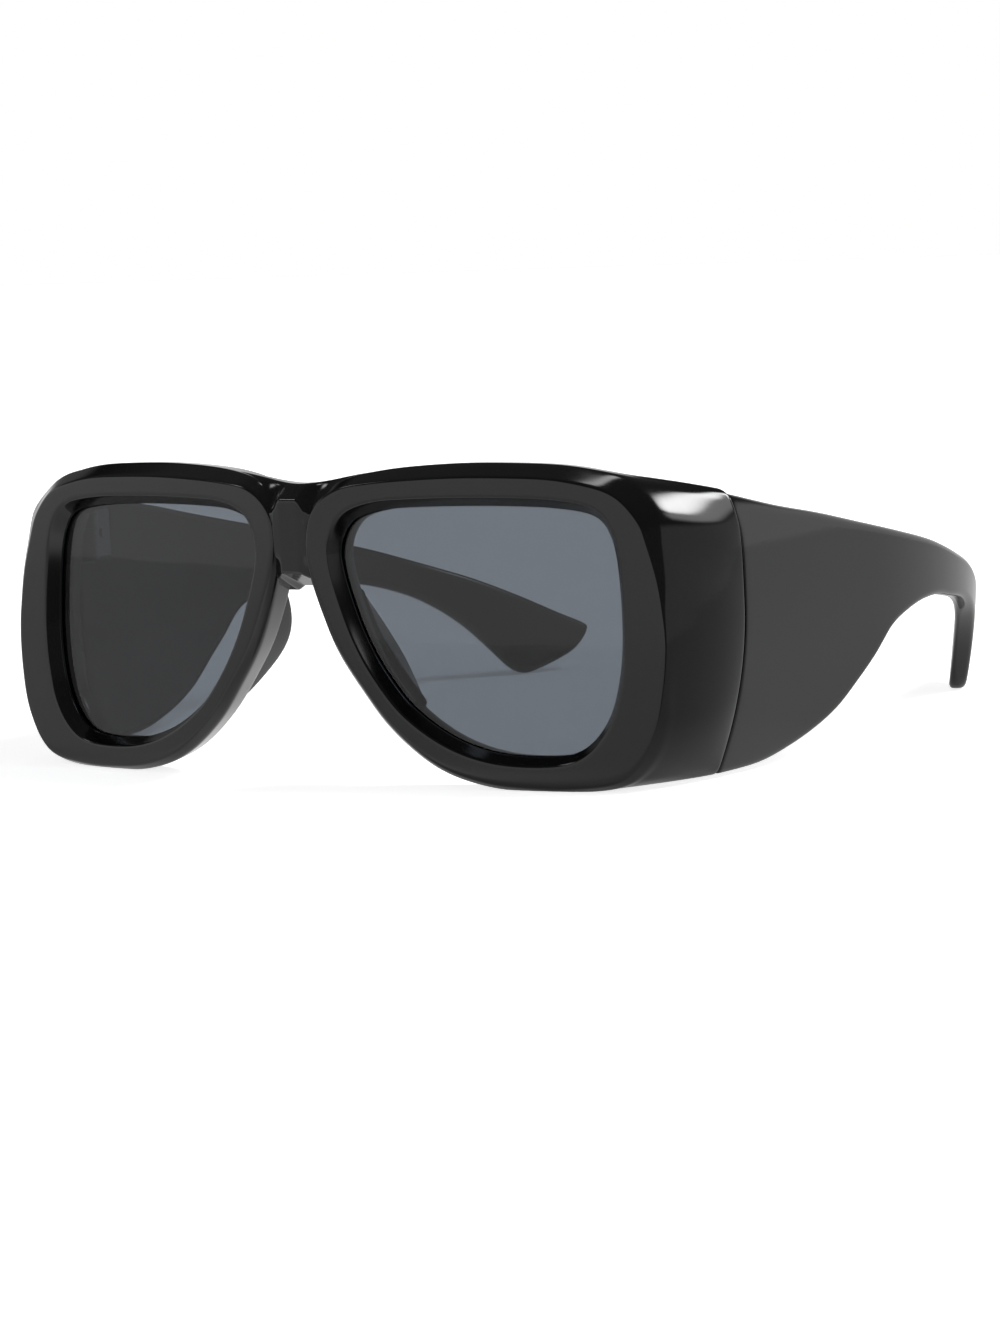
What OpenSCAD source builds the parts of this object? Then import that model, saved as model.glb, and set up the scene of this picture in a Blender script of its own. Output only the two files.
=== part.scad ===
// Oversized wrap sunglasses: one moulded front, two tinted lenses, two glued nose pads,
// and two temples that start as tall side shields, each on a three-barrel metal hinge.
// The lenses face -Y, the wearer's left is +X, and the open glasses stand on Z = 0
// on their lower rims and temple tips. The origin is under the middle of the open glasses.

/* [Eyes] */
// Width of each lens opening at its front lip
eye_w = 57; // [53:0.5:59]
// Height of each lens opening at its front lip
eye_h = 47; // [44:0.5:49]
// Distance between the centres of the two openings
eye_pitch = 72.6; // [72:0.2:76]
// Angle by which each lens turns back at its outer end, in degrees
wrap_deg = 8.4; // [5:0.2:11]
// Angle by which each lens leans back at its top, in degrees
tilt_deg = 3.3; // [1:0.1:6]
// Thickness of each lens
lens_t = 2; // [1.6:0.1:2.2]

/* [Front] */
// Distance from the front plane back to the middle of each lens opening
eye_back = 3.6; // [2.5:0.1:5]
// Radius to which the front of the rims is curved in plan
rim_curve_r = 1470; // [800:10:3000]
// Width of the flat land round each opening, where its share is 1
rim_w = 4; // [3.4:0.1:5]
// Width of the bevel that runs over the brow
bevel_w = 2.4; // [1.8:0.1:3]
// Depth of the rims from front to back
rim_d = 7.8; // [7.2:0.1:9]
// Distance that the sloping inner wall of each rim stands into the opening
wall_in = 1.5; // [1.3:0.1:1.9]
// Depth from the land to the front of the lens
lens_deep = 3; // [2.8:0.1:3.4]
// Width of the raised block in the middle of the bridge
block_w = 4.6; // [3.6:0.1:5.4]

/* [Side shields] */
// Width of the glasses over the side shields
shield_span = 154.4; // [152:0.2:157]
// Distance from the front plane to the joint between front and temple
joint_y = 26.2; // [25:0.1:30]
// Height of the top of the temple at the joint
shield_top = 49.4; // [47:0.2:51]
// Height at which the side shield is widest
widest_z = 31; // [28:0.5:33]
// Distance by which the lower edge of the shield is tucked in at the joint
tuck_low = 7; // [6:0.2:7.6]
// Distance by which the upper edge of the shield is tucked in at the joint
tuck_top = 3.3; // [2.5:0.1:4]
// Wall thickness of the shield at the joint
shield_t = 5.9; // [5.4:0.1:6.4]

/* [Temples] */
// Distance from the front plane to the end of the temple tip
temple_reach = 160.4; // [152:0.2:161]
// Thickness of the temple arm
arm_t = 4; // [3.2:0.1:4.6]
// Distance from the front plane to where the arm starts to bend inwards
bend_y = 69.4; // [66:0.2:74]
// Distance by which the bend carries the arm inwards, up to the straight tail
bend_in = 14; // [12:0.1:15]

/* [Nose pads] */
// Height by which each nose pad stands up from the back of the rim
pad_h = 5.4; // [4:0.2:7]
// Thickness of each nose pad at its root
pad_t = 2.8; // [2.2:0.1:3.2]

/* [Hinges] */
// Distance of each hinge pin inwards of the innermost face of the shield
pin_inset = 0.4; // [0.2:0.1:1]
// Height of the middle of each hinge
hinge_z = 40.4; // [36:0.2:41]
// Radius of the hinge barrels
barrel_r = 1.7; // [1.5:0.05:1.7]
// Length of all three barrels together
barrel_len = 9; // [7.5:0.1:10]
// Radius of the screw's shank
screw_r = 0.7; // [0.5:0.05:0.8]

/* [Hidden] */

// Finishes
black_gloss = [0.04, 0.04, 0.045];
smoke_tint = [0.24, 0.26, 0.30, 0.7];
steel = [0.72, 0.73, 0.75];

// Small sizes shared by several pieces
lip_r = 0.5;
edge_r = 0.9;
overrun = 1;
joint_gap = 0.3;
groove_gap = 0.08;
seat_gap = 0.05;
glue_gap = 0.1;
run_gap = 0.05;
wall_share = 0.82;

// Outline of the lens opening, anticlockwise from its outer side as the wearer's left eye
// is seen from in front: shares of half its width across and of half its height up
lip_shares = [
    [0.995, 0.12], [0.985, 0.35], [0.965, 0.55], [0.93, 0.70], [0.86, 0.83], [0.74, 0.905],
    [0.52, 0.945], [0.25, 0.962], [-0.10, 0.967], [-0.45, 0.96], [-0.68, 0.94], [-0.86, 0.875],
    [-0.955, 0.76], [-1.00, 0.60], [-0.985, 0.42], [-0.92, 0.17], [-0.83, -0.09], [-0.70, -0.35],
    [-0.50, -0.63], [-0.22, -0.85], [0.08, -0.966], [0.40, -0.992], [0.64, -0.955], [0.80, -0.83],
    [0.91, -0.63], [0.97, -0.38], [0.995, -0.12]];
// Width of the flat land at the same places, as shares of rim_w
land_shares = [
    1.71, 1.54, 1.31, 1.20, 1.00, 0.84, 0.88, 0.88, 0.88, 0.83, 0.83, 1.05,
    1.25, 1.08, 1.03, 1.03, 0.98, 0.86, 0.90, 1.00, 0.95, 0.93, 1.15, 1.90,
    2.00, 1.90, 1.84];
// Width of the bevel outside the land, as shares of bevel_w
bevel_shares = [
    0.25, 0.53, 0.78, 1.00, 1.17, 1.08, 1.00, 1.00, 1.00, 0.96, 0.85, 0.65,
    0.50, 0.35, 0.25, 0.20, 0.20, 0.20, 0.20, 0.25, 0.28, 0.32, 0.36, 0.45,
    0.45, 0.20, 0.13];
// Slope of the rim's outer wall towards its back, as shares of nasal_draft
draft_shares = [
    0, 0, 0, 0, 0, 0, 0, 0, 0, 0, 0, 0.1,
    0.3, 0.7, 1, 1, 1, 1, 1, 0.8, 0.4, 0.2, 0.2, 0.1,
    0, 0, 0];
nasal_draft = 2.4;
bevel_d = 3.3;
steps_per_point = 3;

// Frame of one eye
half_eye_w = eye_w / 2;
half_eye_h = eye_h / 2;
low_rim_w = 4.3;
rest_flat = 0.25;
eye_z = half_eye_h * cos(tilt_deg) + low_rim_w - rest_flat;

function pick(table, i) = table[(i % len(table) + len(table)) % len(table)];
function blend4(a, b, c, d, t) =
    (2 * b + (c - a) * t + (2 * a - 5 * b + 4 * c - d) * t * t + (3 * b - a - 3 * c + d) * t * t * t) / 2;
// Value of a closed table between its points
function around(table, s) =
    let (i = floor(s))
    blend4(pick(table, i - 1), pick(table, i), pick(table, i + 1), pick(table, i + 2), s - i);
function lip_at(s) = let (p = around(lip_shares, s)) [p[0] * half_eye_w, p[1] * half_eye_h];
// Outward direction of the outline
function lip_out(s) =
    let (step_share = 0.04, a = lip_at(s - step_share), b = lip_at(s + step_share), t = b - a)
    [t[1], -t[0]] / norm(t);
// A place u across and v up from the middle of the left eye, and d behind its land
function eye_place(u, v, d) =
    let (back = d + u * u / (2 * rim_curve_r), ct = cos(tilt_deg), st = sin(tilt_deg),
         cw = cos(wrap_deg), sw = sin(wrap_deg))
    [eye_pitch / 2 + u * cw - v * st * sw - back * ct * sw,
     eye_back + u * sw + v * st * cw + back * ct * cw,
     eye_z + v * ct - back * st];
// The same, counted from the lip of the opening: r outwards and d back
function lip_place(s, r, d) = let (p = lip_at(s) + lip_out(s) * r) eye_place(p[0], p[1], d);

// Cross-section of the rim at s, from the lip over the land and round to the lens groove
groove_deep = 1.1;
wall_step = 0.5;
function rim_section(s) =
    let (land = rim_w * around(land_shares, s), bevel = bevel_w * around(bevel_shares, s),
         outer = land + bevel, draft = nasal_draft * around(draft_shares, s),
         groove_front = lens_deep - groove_gap, groove_back = lens_deep + lens_t + groove_gap)
    [[0, lip_r], [lip_r, 0], [land - lip_r, 0], [land, lip_r / 2],
     [outer, lip_r + bevel_d * bevel / bevel_w],
     [outer - draft, rim_d - edge_r], [outer - draft - edge_r, rim_d],
     [edge_r - wall_in, rim_d], [-wall_in, rim_d - edge_r],
     [-wall_in, groove_back], [groove_deep - wall_in, groove_back],
     [groove_deep - wall_in, groove_front], [-wall_in, groove_front],
     [-wall_in, groove_front - wall_step]];

// Closed solid through equal closed sections; ring joins the last section to the first
module loft(sections, ring = false) {
    n = len(sections);
    m = len(sections[0]);
    sides = [for (i = [0 : n - (ring ? 1 : 2)], j = [0 : m - 1])
        let (a = i * m + j, b = i * m + (j + 1) % m, c = ((i + 1) % n) * m + (j + 1) % m,
             d = ((i + 1) % n) * m + j)
        each [[a, b, c], [a, c, d]]];
    caps = ring ? [] : [[for (j = [m - 1 : -1 : 0]) j], [for (j = [0 : m - 1]) (n - 1) * m + j]];
    polyhedron(points = [for (part = sections) each part], faces = concat(sides, caps), convexity = 8);
}

// Side shield: outer surface at distance y behind the front plane and height z
corner_y = 9.7;
corner_x = 71.6;
corner_low_tuck = 4.6;
corner_top_tuck = 7.4;
side_low_z = 0.7;
front_proud = 0.8;
brow_fall = 4;
flare_share = 1.6;
tuck_power = 2;
top_power_front = 8;
top_power_joint = 5;
function side_run(y) = min(1, max(0, (y - corner_y) / (joint_y - corner_y)));
function side_top(y) = shield_top + front_proud + brow_fall * (1 - side_run(y));
function side_x(y) = shield_span / 2 - (shield_span / 2 - corner_x) * pow(1 - side_run(y), flare_share);
function low_tuck(y) = corner_low_tuck + (tuck_low - corner_low_tuck) * side_run(y);
function top_tuck(y) = corner_top_tuck + (tuck_top - corner_top_tuck) * side_run(y);
function tuck_in(y, z, top) =
    z < widest_z
    ? low_tuck(y) * pow((widest_z - z) / (widest_z - side_low_z), tuck_power)
    : top_tuck(y) * pow((z - widest_z) / (top - widest_z),
                        top_power_front + (top_power_joint - top_power_front) * side_run(y));
inner_low_tuck = 2.8;
inner_top_tuck = 0.8;
inner_x = shield_span / 2 - shield_t;
function inner_tuck(z, top) =
    z < widest_z
    ? inner_low_tuck * pow((widest_z - z) / (widest_z - side_low_z), tuck_power)
    : inner_top_tuck * pow((z - widest_z) / (top - widest_z), tuck_power);

// Upright strip section: heights go from the lower edge to the upper and back
inner_flare = 4;
least_wall = 2;
side_station_shares = [0.333, 0.407, 0.481, 0.574, 0.667, 0.778, 0.889, 0.97, 1];
strip_shares = [0.02, 0.09, 0.2, 0.32, 0.45, 0.58, 0.70, 0.81, 0.90, 0.965, 1];
function side_section(y) =
    let (top = side_top(y), low = side_low_z, n = len(strip_shares),
         inset = inner_flare * pow(1 - side_run(y), flare_share))
    concat([for (k = [0 : n - 1]) let (z = low + (top - low) * strip_shares[k])
                [side_x(y) - tuck_in(y, z, top) - (k == n - 1 ? edge_r : 0), y, z]],
           [for (k = [n - 1 : -1 : 0]) let (z = low + (top - low) * strip_shares[k])
                [min(inner_x - inset - inner_tuck(z, top), side_x(y) - tuck_in(y, z, top) - least_wall),
                 y, z - (k == n - 1 ? edge_r / 2 : 0)]]);

// Bridge: a web behind the lands, a raised block on it and the brow that runs over both
peg_w = 0.8;
web_front_y = 1.3;
web_rear_y = 7.2;
web_front_x = 4.6;
web_rear_x = 8.4;
web_top_z = 50.6;
web_low_z = 38;
web_rear_low_z = 34;
block_low_z = 37;
block_top_z = 50;
brow_low_z = 52.6;
brow_rise = 2;
brow_thick = 4;
brow_sink = 0.12;
brow_step = 3.1;
brow_rise_shares = [0, 0.08, 0.28, 0.55, 0.8, 0.98];
// A small cube with its outer corner at p, away from the middle of the bridge
module peg(x, y, z, low = false, rear = false) {
    translate([x - peg_w / 2, y - (rear ? peg_w : 0), z - (low ? 0 : peg_w)]) cube(peg_w);
}
module brow_post(i) {
    x = i * brow_step;
    z = brow_low_z + brow_rise * brow_rise_shares[i];
    y = eye_place(x - eye_pitch / 2, half_eye_h, bevel_d + lip_r + brow_sink)[1];
    peg(x, y, z);
    peg(x, y - bevel_d * wall_share, z - bevel_w * wall_share);
    peg(x, y - bevel_d * wall_share, z - brow_thick, low = true);
    peg(x, web_rear_y, z, rear = true);
    peg(x, web_rear_y, z - brow_thick, low = true, rear = true);
}
module bridge_web() {
    hull()
        for (side = [-1, 1]) {
            peg(side * web_front_x, web_front_y, web_low_z, low = true);
            peg(side * web_front_x, web_front_y, web_top_z);
            peg(side * web_rear_x, web_rear_y, web_rear_low_z, low = true, rear = true);
            peg(side * web_rear_x, web_rear_y, web_top_z, rear = true);
        }
}
module bridge_block() {
    hull()
        for (side = [-1, 1]) {
            peg(side * (block_w - peg_w) / 2, 0, block_low_z, low = true);
            peg(side * (block_w - peg_w) / 2, 0, block_top_z);
            peg(side * block_w / 2, web_front_y + peg_w, block_low_z, low = true);
            peg(side * block_w / 2, web_front_y + peg_w, block_top_z);
        }
}
module bridge() {
    bridge_web();
    bridge_block();
    for (side = [0, 1])
        mirror([side, 0, 0])
            for (i = [0 : len(brow_rise_shares) - 2])
                hull() {
                    brow_post(i);
                    brow_post(i + 1);
                }
}

// Hinge sizes and seats
hinge_y = joint_y + joint_gap / 2;
leaf_t = 1;
leaf_gap = 0.25;
front_leaf_len = 8;
temple_leaf_len = 9;
leaf_sink = 0.7;
leaf_x = inner_x + leaf_sink - leaf_t;
hinge_x = inner_x - inner_low_tuck - pin_inset;
rivet_r = 0.6;
rivet_head_r = 1.1;
rivet_head_t = 0.4;
rivet_deep = 1.6;
rivet_room = 0.2;
room_fn = 24;
leaf_front_y = hinge_y - leaf_gap - front_leaf_len;
leaf_rear_y = hinge_y + leaf_gap;
front_rivet_shares = [0.25, 0.75];
temple_rivet_shares = [0.3, 0.8];
front_rivet_ys = [for (share = front_rivet_shares) leaf_front_y + front_leaf_len * share];
temple_rivet_ys = [for (share = temple_rivet_shares) leaf_rear_y + temple_leaf_len * share];
barrel_gap = 0.06;
knuckle_len = (barrel_len - 2 * barrel_gap) / 3;
screw_head_r = 1.3;
screw_head_t = 0.7;
screw_slot_w = 0.35;
pin_fn = 48;

// Room cut for the hinge: the leaf's seat in the wall and the rivets' holes
module hinge_room(low_y, high_y, rivet_ys) {
    translate([leaf_x - shield_t, low_y - seat_gap, hinge_z - barrel_len / 2 - seat_gap])
        cube([shield_t + leaf_t + seat_gap, high_y - low_y + 2 * seat_gap, barrel_len + 2 * seat_gap]);
    for (y = rivet_ys)
        translate([leaf_x, y, hinge_z])
            rotate([0, 90, 0])
                cylinder(r = rivet_r + rivet_room, h = leaf_t + rivet_deep + rivet_room, $fn = room_fn);
}

module half_front() {
    loft([for (k = [0 : len(lip_shares) * steps_per_point - 1])
              let (s = -k / steps_per_point)
              [for (p = rim_section(s)) lip_place(s, p[0], p[1])]], ring = true);
    loft([for (share = side_station_shares) side_section(share * joint_y)]);
}

// The whole model is drawn from the front plane, then moved to stand round the origin
middle_y = temple_reach / 2;
module placed() {
    translate([0, -middle_y, 0]) children();
}
module right_of(side) {
    placed() mirror([side == "right" ? 1 : 0, 0, 0]) children();
}

module front_frame() {
    color(black_gloss)
    placed()
    difference() {
        union() {
            for (side = [0, 1])
                mirror([side, 0, 0]) half_front();
            bridge();
        }
        translate([-shield_span, -shield_span, -shield_span])
            cube([2 * shield_span, 2 * shield_span, shield_span]);
        for (side = [0, 1])
            mirror([side, 0, 0]) {
                hinge_room(leaf_front_y, hinge_y, front_rivet_ys);
                lens(grow = seat_gap);
            }
    }
}

// Lens: a plate with the curve of the rim, held in the groove all round; grow makes the room for it
lens_ring_shares = [0.5, 1];
lens_edge = groove_deep - wall_in - groove_gap;
module lens(grow = 0) {
    n = len(lip_shares) * steps_per_point;
    m = len(lens_ring_shares);
    points = [for (d = [lens_deep - grow, lens_deep + lens_t + grow])
        each concat([eye_place(0, 0, d)],
            [for (share = lens_ring_shares, k = [0 : n - 1])
                let (s = k / steps_per_point, p = (lip_at(s) + lip_out(s) * (lens_edge + grow)) * share)
                eye_place(p[0], p[1], d)])];
    back = 1 + m * n;
    function at(face, ring, k) = face * back + 1 + ring * n + k % n;
    faces = concat(
        [for (k = [0 : n - 1]) [0, at(0, 0, k + 1), at(0, 0, k)]],
        [for (k = [0 : n - 1]) each [[at(0, 0, k), at(0, 1, k + 1), at(0, 1, k)],
                                     [at(0, 0, k), at(0, 0, k + 1), at(0, 1, k + 1)]]],
        [for (k = [0 : n - 1]) [back, at(1, 0, k), at(1, 0, k + 1)]],
        [for (k = [0 : n - 1]) each [[at(1, 0, k), at(1, 1, k), at(1, 1, k + 1)],
                                     [at(1, 0, k), at(1, 1, k + 1), at(1, 0, k + 1)]]],
        [for (k = [0 : n - 1]) each [[at(0, 1, k), at(1, 1, k + 1), at(1, 1, k)],
                                     [at(0, 1, k), at(0, 1, k + 1), at(1, 1, k + 1)]]]);
    polyhedron(points = points, faces = faces, convexity = 4);
}
module lens_left() { color(smoke_tint) right_of("left") lens(); }
module lens_right() { color(smoke_tint) right_of("right") lens(); }

// Nose pad: a fin glued to the back of the rim beside the nose
pad_from_share = 0.54;
pad_to_share = 0.667;
pad_steps = 16;
pad_lean_share = 0.06;
pad_root_in = 0.3;
pad_tip_share = 0.55;
pad_end_share = 0.1;
pad_full_power = 0.9;
mid_share = 0.5;
high_share = 0.9;
round_share = 0.3;
function pad_rise(q) = pad_h * (pad_end_share + (1 - pad_end_share) * pow(sin(180 * q), pad_full_power));
function pad_section(q) =
    let (s = len(lip_shares) * (pad_from_share + (pad_to_share - pad_from_share) * q), rise = pad_rise(q),
         outer = rim_w * around(land_shares, s) + bevel_w * around(bevel_shares, s)
                 - nasal_draft * around(draft_shares, s) - edge_r - pad_root_in,
         root = rim_d + glue_gap, lean = pad_lean_share * rise, tip_t = pad_t * pad_tip_share)
    [for (p = [[outer, root],
               [outer - lean * mid_share, root + rise * mid_share],
               [outer - lean * high_share, root + rise * high_share],
               [outer - lean - tip_t * round_share, root + rise],
               [outer - lean - tip_t * (1 - round_share), root + rise],
               [outer - lean * high_share - tip_t, root + rise * high_share],
               [outer - lean * mid_share - (pad_t + tip_t) / 2, root + rise * mid_share],
               [outer - pad_t, root]])
        lip_place(s, p[0], p[1])];
module nose_pad() {
    loft([for (k = [pad_steps : -1 : 0]) pad_section(k / pad_steps)]);
}
module nose_pad_left() { color(black_gloss) right_of("left") nose_pad(); }
module nose_pad_right() { color(black_gloss) right_of("right") nose_pad(); }

// Temple side view, as shares of the run from the joint to the tip and of shield_top
temple_top_shares = [[0, 1], [0.1, 0.935], [0.2, 0.883], [0.3, 0.825], [0.4, 0.768], [0.5, 0.71],
    [0.56, 0.668], [0.61, 0.63], [0.67, 0.585], [0.74, 0.521], [0.80, 0.46], [0.84, 0.414],
    [0.90, 0.333], [0.96, 0.243], [0.985, 0.208], [1, 0.185]];
temple_low_shares = [[0, 0.016], [0.06, 0.018], [0.10, 0.026], [0.145, 0.052], [0.20, 0.098],
    [0.25, 0.158], [0.295, 0.243], [0.335, 0.322], [0.375, 0.412], [0.42, 0.458], [0.47, 0.485],
    [0.53, 0.49], [0.59, 0.468], [0.65, 0.442], [0.70, 0.405], [0.745, 0.355], [0.785, 0.288],
    [0.815, 0.22], [0.84, 0.148], [0.865, 0.067], [0.88, 0.02], [0.895, 0], [0.915, 0.012],
    [0.95, 0.046], [0.98, 0.089], [0.995, 0.14], [1, 0.165]];
function run_y(share) = joint_y + joint_gap + (temple_reach - joint_y - joint_gap) * share;
// Smooth height along one of the two tables
function height_at(table, share) =
    let (n = len(table), i = max([for (k = [0 : n - 2]) if (table[k][0] <= share) k]),
         a = table[max(0, i - 1)], b = table[i], c = table[i + 1], d = table[min(n - 1, i + 2)],
         span = c[0] - b[0], t = (share - b[0]) / span,
         slope_b = (c[1] - a[1]) / (c[0] - a[0]), slope_c = (d[1] - b[1]) / (d[0] - b[0]))
    shield_top * (b[1] * (2 * t * t * t - 3 * t * t + 1) + c[1] * (3 * t * t - 2 * t * t * t)
                  + span * (slope_b * (t * t * t - 2 * t * t + t) + slope_c * (t * t * t - t * t)));
arm_side_x = shield_span / 2;
bend_power = 2.5;
bend_len = 64;
tail_slope = bend_power * bend_in / bend_len;
function bend_at(y) =
    let (q = max(0, y - bend_y) / bend_len)
    q < 1 ? bend_in * pow(q, bend_power) : bend_in + tail_slope * bend_len * (q - 1);
function bend_slope(y) = tail_slope * pow(min(1, max(0, y - bend_y) / bend_len), bend_power - 1);
thick_y = hinge_y + leaf_gap + temple_leaf_len;
thin_y = 60.2;
arm_low_tuck = 3;
inner_follow_share = 0.8;
tuck_fade_y = 77.6;
function butt_fade(y) = 1 - min(1, max(0, (y - thick_y) / (thin_y - thick_y)));
function wall_at(y) = arm_t + (shield_t - arm_t) * butt_fade(y);
function arm_tuck(y) =
    arm_low_tuck + (tuck_low - arm_low_tuck) * (1 - min(1, max(0, (y - joint_y) / (tuck_fade_y - joint_y))));
function outer_in(y, z) =
    z < widest_z
    ? arm_tuck(y) * pow((widest_z - z) / (widest_z - side_low_z), tuck_power)
    : tuck_top * pow((z - widest_z) / (shield_top - widest_z), top_power_joint);
function inner_in(y, z) =
    let (thin = outer_in(y, z), wall = inner_tuck(z, shield_top), fade = butt_fade(y))
    z < widest_z
    ? min(thin, wall * fade + thin * inner_follow_share * (1 - fade))
    : min(thin, wall * fade + thin * (1 - fade));
temple_step_shares = [0, 0.03, 0.06, 0.09, 0.12, 0.15, 0.18, 0.21, 0.24, 0.27, 0.30, 0.33, 0.36,
    0.39, 0.42, 0.46, 0.50, 0.54, 0.58, 0.62, 0.66, 0.69, 0.72, 0.75, 0.775, 0.80, 0.82, 0.84,
    0.855, 0.87, 0.88, 0.89, 0.90, 0.915, 0.93, 0.95, 0.97, 0.985, 0.995, 1];
bar_shares = [0, 0.05, 0.15, 0.27, 0.4, 0.55, 0.7, 0.82, 0.91, 0.97, 1];
corner_r = 1.1;
function temple_section(share) =
    let (y = run_y(share), top = height_at(temple_top_shares, share),
         low = max(0, height_at(temple_low_shares, share)), n = len(bar_shares),
         slope = bend_slope(y), along = sqrt(1 + slope * slope), wall = wall_at(y),
         turn = [1 / along, slope / along], mid_x = arm_side_x - bend_at(y))
    concat([for (k = [0 : n - 1])
                let (z = low + (top - low) * bar_shares[k],
                     soft = k == 0 || k == n - 1 ? corner_r : 0, r = -outer_in(y, z) - soft)
                [mid_x + r * turn[0], y + r * turn[1], z]],
           [for (k = [n - 1 : -1 : 0])
                let (z = low + (top - low) * bar_shares[k],
                     soft = k == 0 || k == n - 1 ? corner_r : 0, r = -wall - inner_in(y, z) + soft)
                [mid_x + r * turn[0], y + r * turn[1], z]]);
module temple() {
    difference() {
        loft([for (share = temple_step_shares) temple_section(share)]);
        hinge_room(hinge_y, leaf_rear_y + temple_leaf_len, temple_rivet_ys);
    }
}
module temple_left() { color(black_gloss) right_of("left") temple(); }
module temple_right() { color(black_gloss) right_of("right") temple(); }

// One hinge leaf: a plate let into the wall and its barrels round the pin
module knuckle(i) {
    translate([hinge_x, hinge_y, hinge_z - barrel_len / 2 + i * (knuckle_len + barrel_gap)])
        difference() {
            union() {
                cylinder(r = barrel_r, h = knuckle_len, $fn = pin_fn);
                children();
            }
            translate([0, 0, -overrun])
                cylinder(r = screw_r + run_gap, h = knuckle_len + 2 * overrun, $fn = pin_fn);
        }
}
module leaf_plate(low_y, rivet_ys, length) {
    difference() {
        translate([leaf_x, low_y, hinge_z - barrel_len / 2])
            cube([leaf_t, length, barrel_len]);
        for (y = rivet_ys)
            translate([leaf_x - overrun, y, hinge_z])
                rotate([0, 90, 0])
                    cylinder(r = rivet_r + run_gap, h = leaf_t + 2 * overrun, $fn = pin_fn);
    }
}
// Arm from a knuckle out to the plate, on the given side of the joint
knuckle_arm_t = 1.2;
module knuckle_arm(side) {
    translate([barrel_r - knuckle_arm_t / 2, side > 0 ? leaf_gap : -leaf_gap - knuckle_arm_t, 0])
        cube([leaf_x + leaf_t - hinge_x - barrel_r + knuckle_arm_t / 2, knuckle_arm_t, knuckle_len]);
}
module hinge_front_leaf() {
    leaf_plate(leaf_front_y, front_rivet_ys, front_leaf_len);
    for (i = [0, 2])
        knuckle(i) knuckle_arm(-1);
}
module hinge_temple_leaf() {
    leaf_plate(leaf_rear_y, temple_rivet_ys, temple_leaf_len);
    knuckle(1) knuckle_arm(1);
}
module hinge_screw() {
    translate([hinge_x, hinge_y, hinge_z - barrel_len / 2])
        cylinder(r = screw_r, h = barrel_len, $fn = pin_fn);
    translate([hinge_x, hinge_y, hinge_z + barrel_len / 2])
        difference() {
            cylinder(r = screw_head_r, h = screw_head_t, $fn = pin_fn);
            translate([-screw_head_r - overrun, -screw_slot_w / 2, screw_head_t / 2])
                cube([2 * (screw_head_r + overrun), screw_slot_w, screw_head_t]);
        }
}
module rivets(ys) {
    for (y = ys)
        translate([leaf_x, y, hinge_z])
            rotate([0, 90, 0]) {
                cylinder(r = rivet_r, h = leaf_t + rivet_deep, $fn = pin_fn);
                translate([0, 0, -rivet_head_t]) cylinder(r = rivet_head_r, h = rivet_head_t, $fn = pin_fn);
            }
}
module hinge_front_leaf_left() { color(steel) right_of("left") hinge_front_leaf(); }
module hinge_front_leaf_right() { color(steel) right_of("right") hinge_front_leaf(); }
module hinge_temple_leaf_left() { color(steel) right_of("left") hinge_temple_leaf(); }
module hinge_temple_leaf_right() { color(steel) right_of("right") hinge_temple_leaf(); }
module hinge_screw_left() { color(steel) right_of("left") hinge_screw(); }
module hinge_screw_right() { color(steel) right_of("right") hinge_screw(); }
module front_rivets_left() { color(steel) right_of("left") rivets(front_rivet_ys); }
module front_rivets_right() { color(steel) right_of("right") rivets(front_rivet_ys); }
module temple_rivets_left() { color(steel) right_of("left") rivets(temple_rivet_ys); }
module temple_rivets_right() { color(steel) right_of("right") rivets(temple_rivet_ys); }

front_frame();
lens_left();
lens_right();
nose_pad_left();
nose_pad_right();
temple_left();
temple_right();
hinge_front_leaf_left();
hinge_front_leaf_right();
hinge_temple_leaf_left();
hinge_temple_leaf_right();
hinge_screw_left();
hinge_screw_right();
front_rivets_left();
front_rivets_right();
temple_rivets_left();
temple_rivets_right();
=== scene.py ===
import math

import bmesh
import bpy
from mathutils import Matrix, Vector


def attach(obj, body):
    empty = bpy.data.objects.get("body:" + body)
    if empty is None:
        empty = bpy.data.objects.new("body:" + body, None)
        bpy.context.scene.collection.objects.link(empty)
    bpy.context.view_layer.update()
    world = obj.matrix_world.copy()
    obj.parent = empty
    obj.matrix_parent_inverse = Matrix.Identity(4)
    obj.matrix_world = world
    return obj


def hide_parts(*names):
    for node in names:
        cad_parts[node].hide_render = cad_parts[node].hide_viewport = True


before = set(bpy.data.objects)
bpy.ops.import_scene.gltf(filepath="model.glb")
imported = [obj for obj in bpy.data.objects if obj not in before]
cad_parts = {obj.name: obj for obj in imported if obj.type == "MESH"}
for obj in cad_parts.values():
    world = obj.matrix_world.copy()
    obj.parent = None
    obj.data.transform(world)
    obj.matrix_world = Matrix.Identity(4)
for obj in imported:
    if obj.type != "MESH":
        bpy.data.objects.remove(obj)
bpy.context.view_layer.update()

# Sizes below are millimetres: X to the wearer's left, Y back from the front plane, Z up
# from the surface that the glasses stand on. MM turns them into metres at the very end.
MM = 0.001

# Lens openings
EYE_W, EYE_H = 57.0, 47.0
EYE_PITCH = 72.6
WRAP = math.radians(8.4)
TILT = math.radians(3.3)
EYE_BACK = 3.6
RIM_CURVE_R = 1470.0
LOW_RIM_W, REST_FLAT = 4.3, 0.25
LENS_T, LENS_DEEP = 2.0, 3.0

# Rims
RIM_W, BEVEL_W, BEVEL_D, BEVEL_STEP = 4.0, 2.4, 3.3, 0.5
RIM_D, WALL_IN = 7.8, 1.5
NASAL_DRAFT = 2.4
GROOVE_DEEP, GROOVE_GAP, WALL_STEP = 1.1, 0.08, 0.5

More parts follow.
